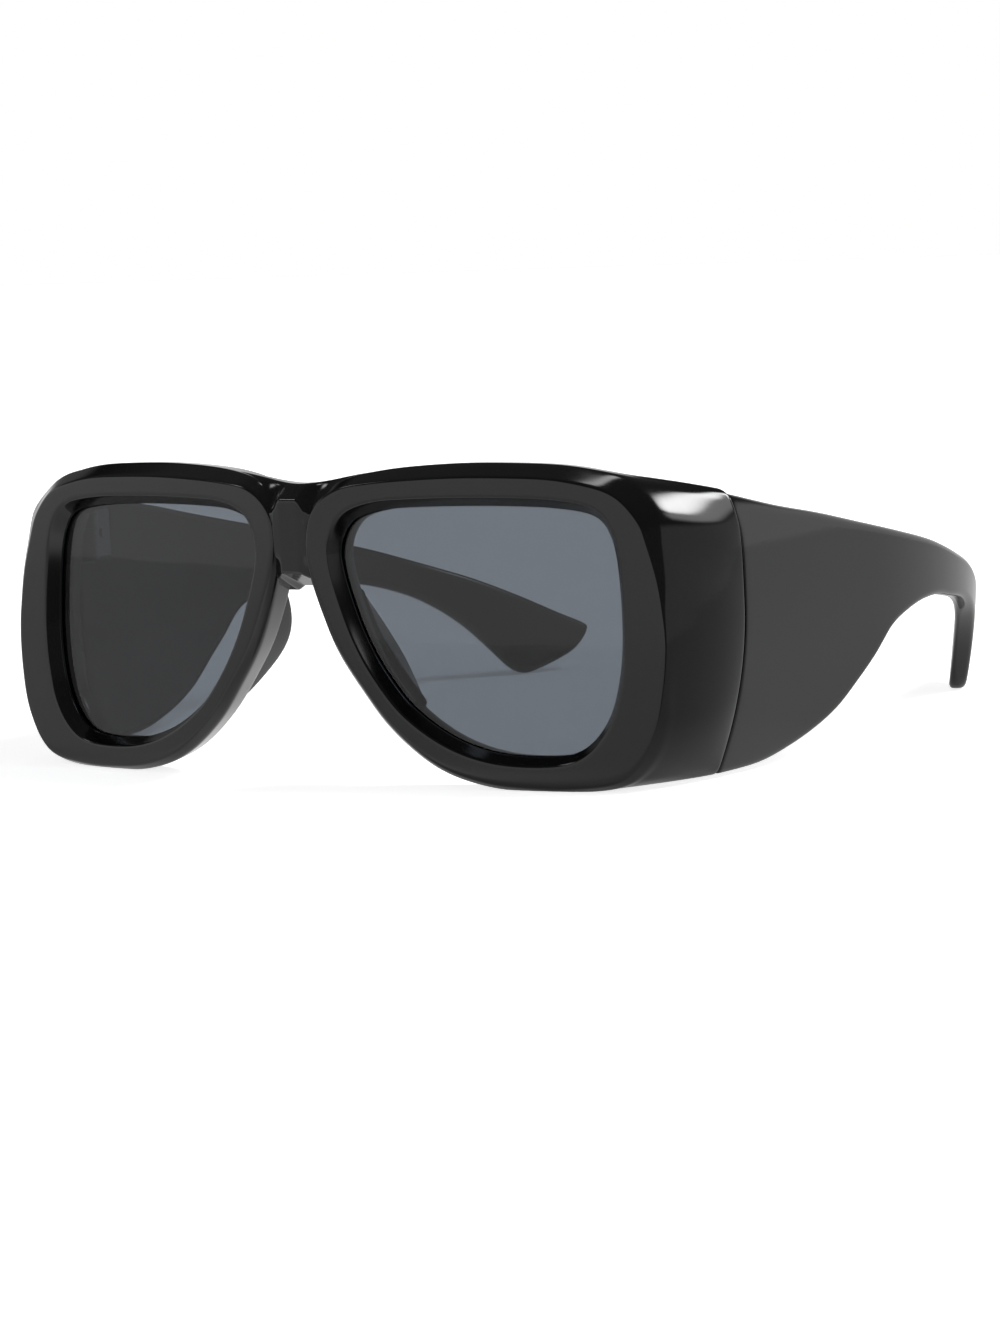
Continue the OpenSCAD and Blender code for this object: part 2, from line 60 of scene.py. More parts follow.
# Side shields
SHIELD_SPAN = 154.4
SHIELD_T = 5.9
SHIELD_TOP = 49.4
JOINT_Y, JOINT_GAP = 26.2, 0.3
WIDEST_Z = 31.0
TUCK_LOW, TUCK_TOP = 7.0, 3.3
CORNER_Y, CORNER_X = 9.7, 71.6
CORNER_LOW_TUCK, CORNER_TOP_TUCK = 4.6, 7.4
SIDE_LOW_Z = 0.7
FRONT_PROUD, BROW_FALL = 0.8, 4.0
FLARE_POWER = 1.6
TOP_ROUND_FRONT, TOP_ROUND_REAR = 8.0, 5.0
INNER_LOW_TUCK, INNER_TOP_TUCK, INNER_FLARE = 2.8, 0.8, 4.0
LEAST_WALL = 2.0
INNER_X = SHIELD_SPAN / 2 - SHIELD_T

# Temples
TEMPLE_REACH = 160.4
ARM_T = 4.0
BEND_Y, BEND_IN, BEND_LEN, BEND_POWER = 69.4, 14.0, 64.0, 2.5
THIN_Y, TUCK_FADE_Y, ARM_LOW_TUCK = 60.2, 77.6, 3.0
INNER_FOLLOW = 0.8

# Hinges
HINGE_Z, BARREL_LEN = 40.4, 9.0
LEAF_T, LEAF_GAP, LEAF_SINK = 1.0, 0.25, 0.7
FRONT_LEAF_LEN, TEMPLE_LEAF_LEN = 8.0, 9.0
SEAT_GAP, POCKET_OVER = 0.05, 1.0
HINGE_Y = JOINT_Y + JOINT_GAP / 2
LEAF_X = INNER_X + LEAF_SINK - LEAF_T
THICK_Y = HINGE_Y + LEAF_GAP + TEMPLE_LEAF_LEN

MIDDLE_Y = TEMPLE_REACH / 2
EYE_Z = EYE_H / 2 * math.cos(TILT) + LOW_RIM_W - REST_FLAT

# Outline of the lens opening, anticlockwise from its outer side: shares of half its width
# and of half its height
LIP_SHARES = [
    (0.995, 0.12), (0.985, 0.35), (0.965, 0.55), (0.93, 0.70), (0.86, 0.83), (0.74, 0.905),
    (0.52, 0.945), (0.25, 0.962), (-0.10, 0.967), (-0.45, 0.96), (-0.68, 0.94), (-0.86, 0.875),
    (-0.955, 0.76), (-1.00, 0.60), (-0.985, 0.42), (-0.92, 0.17), (-0.83, -0.09), (-0.70, -0.35),
    (-0.50, -0.63), (-0.22, -0.85), (0.08, -0.966), (0.40, -0.992), (0.64, -0.955), (0.80, -0.83),
    (0.91, -0.63), (0.97, -0.38), (0.995, -0.12)]
# Width of the flat land at the same places, as shares of RIM_W
LAND_SHARES = [
    1.71, 1.54, 1.31, 1.20, 1.00, 0.84, 0.88, 0.88, 0.88, 0.83, 0.83, 1.05,
    1.25, 1.08, 0.97, 0.85, 0.80, 0.68, 0.72, 0.88, 0.89, 0.93, 1.15, 1.90,
    2.00, 1.90, 1.84]
# Width of the bevel outside the land, as shares of BEVEL_W
BEVEL_SHARES = [
    0.43, 0.80, 1.12, 1.42, 1.30, 1.08, 1.00, 1.00, 1.00, 0.96, 0.85, 0.65,
    0.50, 0.35, 0.35, 0.50, 0.50, 0.50, 0.50, 0.45, 0.38, 0.32, 0.36, 0.45,
    0.60, 0.36, 0.27]
# Depth of the bevel for its width, as shares of the brow's: flatter at the outer corner
BEVEL_DEEP_SHARES = [
    0.16, 0.33, 0.385, 0.41, 0.75, 1, 1, 1, 1, 1, 1, 1,
    1, 1, 0.85, 0.67, 0.67, 0.67, 0.67, 0.75, 0.9, 1, 1, 1,
    0.45, 0.1, 0]
# Slope of the rim's outer wall towards its back, as shares of NASAL_DRAFT
DRAFT_SHARES = [
    0, 0, 0, 0, 0, 0, 0, 0, 0, 0, 0, 0.1,
    0.3, 0.7, 1, 1, 1, 1, 1, 0.8, 0.4, 0.2, 0.2, 0.1,
    0, 0, 0]
PLACES = len(LIP_SHARES)


def mix(a, b, t):
    return a + (b - a) * t


def smooth(t):
    t = min(1.0, max(0.0, t))
    return t * t * (3 - 2 * t)


def curve(before, here, after, beyond, t):
    """Smooth curve through four values, from the second at t = 0 to the third at t = 1."""
    return (2 * here + (after - before) * t + (2 * before - 5 * here + 4 * after - beyond) * t ** 2
            + (3 * here - before - 3 * after + beyond) * t ** 3) / 2


def around(table, s):
    """Value of a closed table between its points."""
    i = math.floor(s)
    before, here, after, beyond = (table[(i + k) % PLACES] for k in (-1, 0, 1, 2))
    return curve(before, here, after, beyond, s - i)


LIP_X = [p[0] * EYE_W / 2 for p in LIP_SHARES]
LIP_Y = [p[1] * EYE_H / 2 for p in LIP_SHARES]
LIP_STEP = 0.04


def lip_at(s):
    return Vector((around(LIP_X, s), around(LIP_Y, s)))


def lip_out(s):
    """Outward direction of the outline."""
    run = (lip_at(s + LIP_STEP) - lip_at(s - LIP_STEP)).normalized()
    return Vector((run.y, -run.x))


def eye_place(u, v, d):
    """A place u across and v up from the middle of the left eye, and d behind its land."""
    back = d + u * u / (2 * RIM_CURVE_R)
    ct, st, cw, sw = math.cos(TILT), math.sin(TILT), math.cos(WRAP), math.sin(WRAP)
    return Vector((EYE_PITCH / 2 + u * cw - v * st * sw - back * ct * sw,
                   EYE_BACK + u * sw + v * st * cw + back * ct * cw,
                   EYE_Z + v * ct - back * st))


def lip_place(s, r, d):
    """The same, counted from the lip of the opening: r outwards and d back."""
    p = lip_at(s) + lip_out(s) * r
    return eye_place(p.x, p.y, d)


# Side shield

def side_run(y):
    return min(1.0, max(0.0, (y - CORNER_Y) / (JOINT_Y - CORNER_Y)))


def side_top(y):
    return SHIELD_TOP + FRONT_PROUD + BROW_FALL * (1 - side_run(y))


def side_outer(y, z):
    """Outer surface of the shield."""
    run = side_run(y)
    x = SHIELD_SPAN / 2 - (SHIELD_SPAN / 2 - CORNER_X) * (1 - run) ** FLARE_POWER
    if z < WIDEST_Z:
        return x - mix(CORNER_LOW_TUCK, TUCK_LOW, run) * ((WIDEST_Z - z) / (WIDEST_Z - SIDE_LOW_Z)) ** 2
    up = (z - WIDEST_Z) / (side_top(y) - WIDEST_Z)
    return x - mix(CORNER_TOP_TUCK, TUCK_TOP, run) * up ** mix(TOP_ROUND_FRONT, TOP_ROUND_REAR, run)


def inner_tuck(z, top):
    if z < WIDEST_Z:
        return INNER_LOW_TUCK * ((WIDEST_Z - z) / (WIDEST_Z - SIDE_LOW_Z)) ** 2
    return INNER_TOP_TUCK * ((z - WIDEST_Z) / (top - WIDEST_Z)) ** 2


def side_inner(y, z):
    """Inner surface of the shield."""
    flare = INNER_FLARE * (1 - side_run(y)) ** FLARE_POWER
    return min(INNER_X - flare - inner_tuck(z, side_top(y)), side_outer(y, z) - LEAST_WALL)


# Meshes

LEAST_HALF_ANGLE, MOST_REACH = 0.02, 0.48
RING_WELD, SKIN_WELD, SAME_PLACE = 1e-5, 1e-4, 1e-3


def arc_point(start, corner, end, t):
    """Place on the soft arc that cuts a corner, at a share t of the way."""
    return start * (1 - t) ** 2 + corner * 2 * t * (1 - t) + end * t ** 2


def bends(corners, steps):
    """Closed run of corners, each (x, y, radius), as one list of places for each corner's arc."""
    made = []
    count = len(corners)
    for i, (x, y, radius) in enumerate(corners):
        here = Vector((x, y))
        before = Vector(corners[i - 1][:2]) - here
        after = Vector(corners[(i + 1) % count][:2]) - here
        a, b = before.normalized(), after.normalized()
        half = max(LEAST_HALF_ANGLE, a.angle(b) / 2)
        reach = min(radius / math.tan(half), before.length * MOST_REACH, after.length * MOST_REACH)
        start, end = here + a * reach, here + b * reach
        made.append([arc_point(start, here, end, k / (steps - 1)) for k in range(steps)])
    return made


def sweep(sections, ring=False):
    """Skin through equal closed loops of points; ring joins the last loop to the first."""
    bm = bmesh.new()
    count = len(sections[0])
    loop = list(bmesh.ops.create_circle(bm, segments=count, radius=1, cap_ends=False)["verts"])
    first = loop
    for number, section in enumerate(sections + ([sections[0]] if ring else [])):
        if number:
            edges = [bm.edges.get((loop[i], loop[(i + 1) % count])) for i in range(count)]
            order = {v: i for i, v in enumerate(loop)}
            made = bmesh.ops.extrude_edge_only(bm, edges=edges)["geom"]
            fresh = [None] * count
            for v in (g for g in made if isinstance(g, bmesh.types.BMVert)):
                for e in v.link_edges:
                    if e.other_vert(v) in order:
                        fresh[order[e.other_vert(v)]] = v
            loop = fresh
        for v, p in zip(loop, section):
            v.co = p
    if ring:
        bmesh.ops.remove_doubles(bm, verts=first + loop, dist=RING_WELD)
    else:
        for end in (first, loop):
            rim = [bm.edges.get((end[i], end[(i + 1) % count])) for i in range(count)]
            bmesh.ops.edgeloop_fill(bm, edges=rim)
    bmesh.ops.recalc_face_normals(bm, faces=bm.faces)
    return bm


def block(low, high):
    """Box between two corners."""
    bm = bmesh.new()
    bmesh.ops.create_cube(bm, size=1)
    size = Vector(high) - Vector(low)
    bmesh.ops.scale(bm, vec=size, verts=bm.verts)
    bmesh.ops.translate(bm, vec=(Vector(high) + Vector(low)) / 2, verts=bm.verts)
    return bm


def joined(parts):
    """One bmesh out of several."""
    whole = bmesh.new()
    for part in parts:
        mesh = bpy.data.meshes.new("part")
        part.to_mesh(mesh)
        part.free()
        whole.from_mesh(mesh)
        bpy.data.meshes.remove(mesh)
    return whole


def unturned(bm):
    """The shape as it is, for the wearer's left side."""
    return bm


def mirrored(bm):
    """The same shape for the wearer's right side."""
    bmesh.ops.scale(bm, vec=(-1, 1, 1), verts=bm.verts)
    bmesh.ops.reverse_faces(bm, faces=bm.faces)
    return bm


SIDES = (("left", unturned), ("right", mirrored))


def piece(name, bm, subdivide=0):
    """Finished object from a bmesh in millimetres."""
    bmesh.ops.translate(bm, vec=(0, -MIDDLE_Y, 0), verts=bm.verts)
    bmesh.ops.scale(bm, vec=(MM, MM, MM), verts=bm.verts)
    mesh = bpy.data.meshes.new(name)
    bm.to_mesh(mesh)
    bm.free()
    for face in mesh.polygons:
        face.use_smooth = True
    obj = bpy.data.objects.new(name, mesh)
    bpy.context.scene.collection.objects.link(obj)
    if subdivide:
        modifier = obj.modifiers.new("smooth", "SUBSURF")
        modifier.levels = modifier.render_levels = subdivide
    return obj


def baked(obj):
    """Turns the object's modifiers into its mesh."""
    bpy.context.view_layer.update()
    seen = obj.evaluated_get(bpy.context.evaluated_depsgraph_get())
    mesh = bpy.data.meshes.new_from_object(seen)
    obj.modifiers.clear()
    obj.data = mesh
    return obj


def carved(obj, cutters):
    """Cuts the cutters' shapes out of the object."""
    for cutter in cutters:
        modifier = obj.modifiers.new("pocket", "BOOLEAN")
        modifier.operation = "DIFFERENCE"
        modifier.solver = "EXACT"
        modifier.object = cutter
    baked(obj)
    for cutter in cutters:
        bpy.data.objects.remove(cutter)
    return obj


# Front

# The rim has STEPS_PER_PLACE sections from each place of its outline to the next. Those from
# LOW_END to TOP_END carry the shield, whose two edges close in CAP_STEPS steps
STEPS_PER_PLACE, CAP_STEPS = 6, 3
TOP_END, LOW_END = 4 + 4 / STEPS_PER_PLACE, -4 - 2 / STEPS_PER_PLACE
# Places along one section: in each bend, beside the rim, along the shield, round its rear edge
ARC_STEPS, ROOT_STATIONS, RUN_STATIONS, REAR_POINTS = 4, 7, 7, 5
SIDE_TURN, ROOT_GAP = 1.4, 1.0
CAP_R, END_R = 1.2, 0.35
END_BULGE, MOST_END, LEAST_ACROSS = 0.3, 0.45, 0.01
LIP_R, LAND_R, BROW_R, BACK_R = 0.45, 0.7, 1.3, 1.0
GROOVE_R, LEDGE_R, WALL_STEP_R = 0.05, 0.12, 0.3
# Shares of the way between two bends at which a section has further points
LAND_POINTS, BEVEL_POINTS, BACK_POINTS, MIDWAY = (0.33, 0.67), (0.5,), (0.35, 0.65), 0.5
ROOT_IN, ROOT_POINTS, PARKED = 3.2, (0, 0.4), 0.03


def rim_sizes(s):
    """Widths of the land, of the bevel and of both, and how far the outer wall slopes in."""
    land = RIM_W * around(LAND_SHARES, s)
    bevel = BEVEL_W * around(BEVEL_SHARES, s)
    return land, bevel, land + bevel, NASAL_DRAFT * around(DRAFT_SHARES, s)


def bevel_end(s):
    """Where the bevel ends: how far out from the lip and how far back."""
    _, bevel, outer, _ = rim_sizes(s)
    return outer, BEVEL_STEP + BEVEL_D * bevel / BEVEL_W * around(BEVEL_DEEP_SHARES, s)


def shield_height(s):
    """Share of the shield's height at which section s meets it, and how far over its end."""
    low_z = lip_place(LOW_END, *bevel_end(LOW_END)).z
    top_z = lip_place(TOP_END, *bevel_end(TOP_END)).z
    within = min(TOP_END, max(LOW_END, s))
    here = lip_place(within, *bevel_end(within)).z
    over = max(s - TOP_END, LOW_END - s, 0) * STEPS_PER_PLACE / CAP_STEPS
    return (here - low_z) / (top_z - low_z), over


def shield_point(y, share, over, inner):
    """Place on the shield's surface; over runs from 0 at its corner to 1 in the middle of its edge."""
    low, top = SIDE_LOW_Z, side_top(y)
    turned = math.pi / 2 * min(1, over)
    drop = CAP_R * (1 - math.sin(turned))
    z = mix(low + drop, top - drop, share)
    x_out, x_in = side_outer(y, z), side_inner(y, z)
    x = mix(x_in if inner else x_out, (x_out + x_in) / 2, 1 - math.cos(turned))
    return Vector((x, y, z))


def rim_section(s):
    """Loop of places round the rim's section at s, with the shield behind it on the outer side."""
    land, _, outer, draft = rim_sizes(s)
    bevel_r, bevel_deep = bevel_end(s)
    groove_front = LENS_DEEP - GROOVE_GAP
    groove_back = LENS_DEEP + LENS_T + GROOVE_GAP
    corners = [(0, 0, LIP_R), (land, 0, LAND_R), (bevel_r, bevel_deep, BROW_R),
               (outer - draft, RIM_D, BACK_R), (-WALL_IN, RIM_D, BACK_R),
               (-WALL_IN, groove_back, GROOVE_R), (GROOVE_DEEP - WALL_IN, groove_back, GROOVE_R),
               (GROOVE_DEEP - WALL_IN, groove_front, GROOVE_R), (-WALL_IN, groove_front, LEDGE_R),
               (-WALL_IN, groove_front - WALL_STEP, WALL_STEP_R)]
    bend = bends(corners, ARC_STEPS)

    def spread(points):
        return [lip_place(s, p.x, p.y) for p in points]

    loop = spread(bend[0]) + spread([bend[0][-1].lerp(bend[1][0], t) for t in LAND_POINTS])
    loop += spread(bend[1]) + spread([bend[1][-1].lerp(bend[2][0], t) for t in BEVEL_POINTS])
    s_signed = s if s < PLACES / 2 else s - PLACES
    reach = (CAP_STEPS + MIDWAY) / STEPS_PER_PLACE
    if LOW_END - reach < s_signed < TOP_END + reach:
        loop += shield_run(s, s_signed, spread([bend[2][0]])[0])
        loop += spread([Vector((mix(outer - ROOT_IN, -WALL_IN, t), RIM_D)) for t in ROOT_POINTS])
    else:
        start, stop, rear = bend[2][-1], bend[3][0], bend[3][-1]
        loop += spread(bend[2])
        straight = ROOT_STATIONS - ARC_STEPS
        loop += spread([start.lerp(stop, i / (straight + 1)) for i in range(1, straight + 1)] + bend[3])
        loop += spread([rear.lerp(bend[4][0], PARKED)]) * (2 * RUN_STATIONS + REAR_POINTS)
        loop += spread([rear.lerp(bend[4][0], t) for t in BACK_POINTS])
    loop += spread(bend[4])
    for tight in bend[5:9]:
        loop += spread(tight[1:3])
    loop += spread(bend[9]) + spread([bend[9][-1].lerp(bend[0][0], MIDWAY)])
    return loop


def shield_run(s, s_signed, turn):
    """The shield's part of a section: back from turn, round the rear edge and in again."""
    share, over = shield_height(s_signed)
    edge = lip_place(s, *bevel_end(s))
    offset = edge - shield_point(edge.y, share, over, False)

    def place(y, inner=False):
        return shield_point(y, share, over, inner) + offset * max(0, 1 - (y - edge.y) / (JOINT_Y - edge.y))

    side_start = edge.y + SIDE_TURN
    root_y = lip_place(s, 0, RIM_D).y + ROOT_GAP
    run = [mix(root_y, JOINT_Y - END_R, i / (RUN_STATIONS - 1)) for i in range(RUN_STATIONS)]
    root = [mix(side_start, root_y, i / (ROOT_STATIONS + 1)) for i in range(1, ROOT_STATIONS + 1)]
    points = [arc_point(turn, edge, place(side_start), k / (ARC_STEPS - 1)) for k in range(ARC_STEPS)]
    points += [place(y) for y in root + run]
    out_end, in_end = place(JOINT_Y), place(JOINT_Y, True)
    across = in_end - out_end
    step = across * min(MOST_END, END_R / max(across.length, LEAST_ACROSS))
    back = Vector((0, -END_R * END_BULGE, 0))
    points += [out_end + step * END_BULGE + back, out_end + step, out_end.lerp(in_end, MIDWAY),
               in_end - step, in_end - step * END_BULGE + back]
    points += [place(y, True) for y in reversed(run)]
    return points


def half_front():
    """Rim and shield of one side as one skin, closed along the shield's upper and lower edges."""
    total = PLACES * STEPS_PER_PLACE
    sections = [rim_section(k / STEPS_PER_PLACE) for k in range(total)]
    bm = sweep(sections, ring=True)
    bmesh.ops.remove_doubles(bm, verts=bm.verts, dist=SKIN_WELD)
    first_run = 3 * ARC_STEPS + len(LAND_POINTS) + len(BEVEL_POINTS) + ROOT_STATIONS
    for last_cap, beyond in ((round(TOP_END * STEPS_PER_PLACE) + CAP_STEPS, 1),
                             (round(LOW_END * STEPS_PER_PLACE) - CAP_STEPS, -1)):
        ridge = sections[last_cap % total][first_run:first_run + RUN_STATIONS + REAR_POINTS // 2 + 1]
        corner = sections[(last_cap + beyond) % total][first_run]
        fan = [f for f in bm.faces if is_fan(f, ridge, corner)]
        bmesh.ops.delete(bm, geom=fan, context="FACES_ONLY")
    loose = [e for e in bm.edges if not e.link_faces]
    bmesh.ops.delete(bm, geom=loose, context="EDGES")
    bmesh.ops.recalc_face_normals(bm, faces=bm.faces)
    return bm


def is_fan(face, ridge, corner):
    """Whether a face lies between the ridge of the shield's edge and the rim's corner next to it."""
    on_ridge = sum(1 for v in face.verts if min((v.co - p).length for p in ridge) < SAME_PLACE)
    at_corner = sum(1 for v in face.verts if (v.co - corner).length < SAME_PLACE)
    return at_corner == 1 and on_ridge == len(face.verts) - 1


# Bridge

# Crest of the brow: its height in the middle, and how it rises in steps to either side
BROW_LOW_Z, BROW_RISE, BROW_STEP = 52.6, 2.0, 3.1
BROW_RISE_SHARES = [0, 0.08, 0.28, 0.55, 0.8, 0.98]
# The bridge stands proud of the rims' bevels near the middle and sinks into them further out
BROW_THICK, BROW_SINK = 4.0, 0.12
BROW_LIFT, LIFT_TO, LIFT_FADE = 0.35, 4.5, 3.0
BRIDGE_FRONT_Y, BRIDGE_REAR_Y = 0.1, 7.2
BRIDGE_LOW_Z, BRIDGE_REAR_LOW_Z, BRIDGE_ARCH = 37.2, 34.0, 0.9
# The block in the middle, and the folds beside it with a notch above and a foot below
BLOCK_TOP_Z, BLOCK_FLAT = 50.0, 1.7
FOLD_DEEP, FOLD_RUN = 0.12, 1.9
NOTCH_DEEP, NOTCH_Z, NOTCH_FROM_Z, NOTCH_LEN = 0.2, 47.9, 45.0, 2.4
FOOT_DEEP, FOOT_FROM_Z, FOOT_LEN = 0.9, 41.0, 3.5
# Further out the bridge tucks itself behind the land's edge, and then only the brow goes on
EDGE_FROM, EDGE_RUN, EDGE_SINK, EDGE_DROP = 3.4, 2.6, 0.3, 0.25
BROW_ONLY_FROM, BROW_ONLY_RUN, RAISED_FROM, RAISED_RUN = 6.5, 3.5, 6.0, 2.5
FOOT_R, BLOCK_R, CREST_R, REAR_R = 0.6, 0.8, 1.3, 0.9
GUARD, GUARD_SHARE = 1.3, 0.3
# Stations stand closer together in the middle: EVEN_SHARE of their spacing is even
BRIDGE_REACH, BRIDGE_STATIONS, EVEN_SHARE = 15.5, 60, 0.27
FRONT_STEPS, BRIDGE_ARC_STEPS, FLANK_POINTS = 16, 6, (0.12, 0.5, 0.88)
# Part of the outline in which rim_edge looks, and how often it halves it
EDGE_FIRST, EDGE_LAST, HALVINGS = 9.0, 12.4, 24


def brow_height(x):
    """Height of the brow's crest at x."""
    last = len(BROW_RISE_SHARES) - 1
    place = abs(x) / BROW_STEP
    i = int(place)
    before, here, after, beyond = (BROW_RISE_SHARES[min(last, abs(i + k))] for k in (-1, 0, 1, 2))
    return BROW_LOW_Z + BROW_RISE * curve(before, here, after, beyond, place - i)


def rim_edge(x):
    """Upper edge of the rim's land at a distance x from the middle."""
    low, high = EDGE_FIRST, EDGE_LAST
    for _ in range(HALVINGS):
        s = (low + high) / 2
        edge = lip_place(s, rim_sizes(s)[0], 0)
        low, high = (s, high) if edge.x > x else (low, s)
    return edge


def bridge_section(x):
    """Loop round the bridge at x: the block, the folds beside it and the brow's bevel above both."""
    a = abs(x)
    rim = rim_edge(a)
    crest_z = brow_height(x)
    sink = mix(-BROW_LIFT, BROW_SINK, smooth((a - LIFT_TO) / LIFT_FADE))
    crest_y = eye_place(a - EYE_PITCH / 2, EYE_H / 2, BEVEL_D + BEVEL_STEP + sink).y
    fold = smooth((a - BLOCK_FLAT) / FOLD_RUN)
    brow_only = smooth((a - BROW_ONLY_FROM) / BROW_ONLY_RUN)
    raised = smooth((a - RAISED_FROM) / RAISED_RUN)

    behind_land = rim.y + EDGE_SINK if a > BLOCK_FLAT + FOLD_RUN else 0

    def front_y(z):
        deep = FOLD_DEEP + (NOTCH_DEEP - FOLD_DEEP) * smooth((z - NOTCH_FROM_Z) / NOTCH_LEN)
        deep += (FOOT_DEEP - FOLD_DEEP) * smooth((FOOT_FROM_Z - z) / FOOT_LEN)
        here = max(BRIDGE_FRONT_Y + fold * deep, behind_land)
        return mix(here, crest_y - BEVEL_D, brow_only)

    block_top = mix(BLOCK_TOP_Z, NOTCH_Z, fold)
    edge_z = mix(block_top, rim.z - EDGE_DROP, smooth((a - EDGE_FROM) / EDGE_RUN))
    top_z = mix(edge_z, crest_z - BEVEL_W, brow_only)
    low_z = mix(BRIDGE_LOW_Z - BRIDGE_ARCH * fold, crest_z - BROW_THICK, raised)
    rear_low_z = mix(BRIDGE_REAR_LOW_Z - BRIDGE_ARCH * fold, crest_z - BROW_THICK, raised)
    guard = min(GUARD, (top_z - low_z) * GUARD_SHARE)
    corners = [(front_y(low_z), low_z, FOOT_R), (front_y(low_z), low_z + guard, 0),
               (front_y(top_z), top_z - guard, 0), (front_y(top_z), top_z, BLOCK_R),
               (crest_y, crest_z, CREST_R), (BRIDGE_REAR_Y, crest_z, REAR_R),
               (BRIDGE_REAR_Y, rear_low_z, FOOT_R)]
    bend = bends(corners, BRIDGE_ARC_STEPS)
    low, high = bend[0][-1].y, bend[3][0].y
    points = list(bend[0])
    for k in range(1, FRONT_STEPS + 1):
        z = mix(low, high, k / (FRONT_STEPS + 1))
        points.append(Vector((front_y(z), z)))
    for here, after in ((3, 4), (4, 5), (5, 6), (6, 0)):
        points += bend[here]
        points += [bend[here][-1].lerp(bend[after][0], t) for t in FLANK_POINTS]
    return [Vector((x, p.x, p.y)) for p in points]


def bridge():
    spans = [k / BRIDGE_STATIONS for k in range(-BRIDGE_STATIONS, BRIDGE_STATIONS + 1)]
    return sweep([bridge_section(BRIDGE_REACH * mix(q ** 3, q, EVEN_SHARE)) for q in spans])


def pocket(low_y, high_y):
    """Room for a hinge leaf in the inner face of the wall."""
    half = BARREL_LEN / 2 + SEAT_GAP
    return block((LEAF_X - SHIELD_T, low_y - SEAT_GAP, HINGE_Z - half),
                 (LEAF_X + LEAF_T + SEAT_GAP, high_y + SEAT_GAP, HINGE_Z + half))


def make_front():
    """Front in one piece: both halves and the bridge, on a flat underside."""
    rims = baked(piece("rims", joined([half_front(), mirrored(half_front())]), subdivide=1))
    cutters = []
    for _, turn in SIDES:
        room = pocket(HINGE_Y - LEAF_GAP - FRONT_LEAF_LEN, HINGE_Y + POCKET_OVER)
        cutters.append(piece("room", turn(room)))
    carved(rims, cutters)
    middle = piece("middle", bridge())
    whole = bmesh.new()
    whole.from_mesh(rims.data)
    whole.from_mesh(middle.data)
    mesh = bpy.data.meshes.new("front_shell")
    whole.to_mesh(mesh)
    whole.free()
    for obj in (rims, middle):
        bpy.data.objects.remove(obj)
    for face in mesh.polygons:
        face.use_smooth = True
    for vertex in mesh.vertices:
        vertex.co.z = max(0.0, vertex.co.z)
    front = bpy.data.objects.new("front_shell", mesh)
    bpy.context.scene.collection.objects.link(front)
    return front


# Lenses and nose pads

LENS_EDGE = GROOVE_DEEP - WALL_IN - GROOVE_GAP
LENS_RINGS = [0.04, 0.2, 0.4, 0.6, 0.8, 0.93, 0.985]
LENS_STEPS_PER_PLACE = 3
LENS_CHAMFER = 0.3


def make_lens():
    """Lens as wide as its groove, in rings from the middle of its front to that of its back."""
    total = PLACES * LENS_STEPS_PER_PLACE

    def ring(share, d):
        points = []
        for k in range(total):
            s = k / LENS_STEPS_PER_PLACE
            p = (lip_at(s) + lip_out(s) * LENS_EDGE) * share
            points.append(eye_place(p.x, p.y, d))
        return points

    back = LENS_DEEP + LENS_T
    rings = [ring(share, LENS_DEEP) for share in LENS_RINGS]
    rings += [ring(1, LENS_DEEP + LENS_CHAMFER), ring(1, back - LENS_CHAMFER)]
    rings += [ring(share, back) for share in reversed(LENS_RINGS)]
    return sweep(rings)


PAD_FIRST, PAD_LAST, PAD_STEPS = 14.6, 18.0, 20
PAD_H, PAD_T = 5.4, 2.8
PAD_LEAN, PAD_ROOT_IN, PAD_TIP = 0.06, 0.3, 0.55
PAD_END, PAD_POWER = 0.1, 0.9
PAD_SINK, PAD_ROOT_R, PAD_ARC_STEPS = 0.4, 0.1, 5
EDGE_R = 0.9
# The first and the last section of a pad stand this share of its length inside its ends
PAD_CUT = 0.0001


def pad_section(q):
    """Loop round a fin at a share q of its length."""
    s = mix(PAD_FIRST, PAD_LAST, q)
    rise = PAD_H * (PAD_END + (1 - PAD_END) * math.sin(math.pi * q) ** PAD_POWER)
    _, _, rim_out, draft = rim_sizes(s)
    outer = rim_out - draft - EDGE_R - PAD_ROOT_IN
    root = RIM_D - PAD_SINK
    lean = PAD_LEAN * rise
    tip = PAD_T * PAD_TIP
    corners = [(outer, root, PAD_ROOT_R), (outer - lean, RIM_D + rise, tip / 2),
               (outer - lean - tip, RIM_D + rise, tip / 2), (outer - PAD_T, root, PAD_ROOT_R)]
    return [lip_place(s, p.x, p.y) for bend in bends(corners, PAD_ARC_STEPS) for p in bend]


def make_pad():
    shares = [min(1 - PAD_CUT, max(PAD_CUT, k / PAD_STEPS)) for k in range(PAD_STEPS + 1)]
    return sweep([pad_section(q) for q in shares])


# Temples

TEMPLE_TOP_SHARES = [
    (0, 1), (0.1, 0.935), (0.2, 0.883), (0.3, 0.825), (0.4, 0.768), (0.5, 0.71),
    (0.56, 0.668), (0.61, 0.63), (0.67, 0.585), (0.74, 0.521), (0.80, 0.46), (0.84, 0.414),
    (0.90, 0.333), (0.96, 0.243), (0.985, 0.208), (1, 0.185)]
TEMPLE_LOW_SHARES = [
    (0, 0.016), (0.06, 0.018), (0.10, 0.026), (0.145, 0.052), (0.20, 0.098),
    (0.25, 0.158), (0.295, 0.243), (0.335, 0.322), (0.375, 0.412), (0.42, 0.458), (0.47, 0.485),
    (0.53, 0.49), (0.59, 0.468), (0.65, 0.442), (0.70, 0.405), (0.745, 0.355), (0.785, 0.288),
    (0.815, 0.22), (0.84, 0.148), (0.865, 0.067), (0.88, 0.02), (0.895, 0), (0.915, 0.012),
    (0.95, 0.046), (0.98, 0.089), (0.995, 0.14), (1, 0.165)]
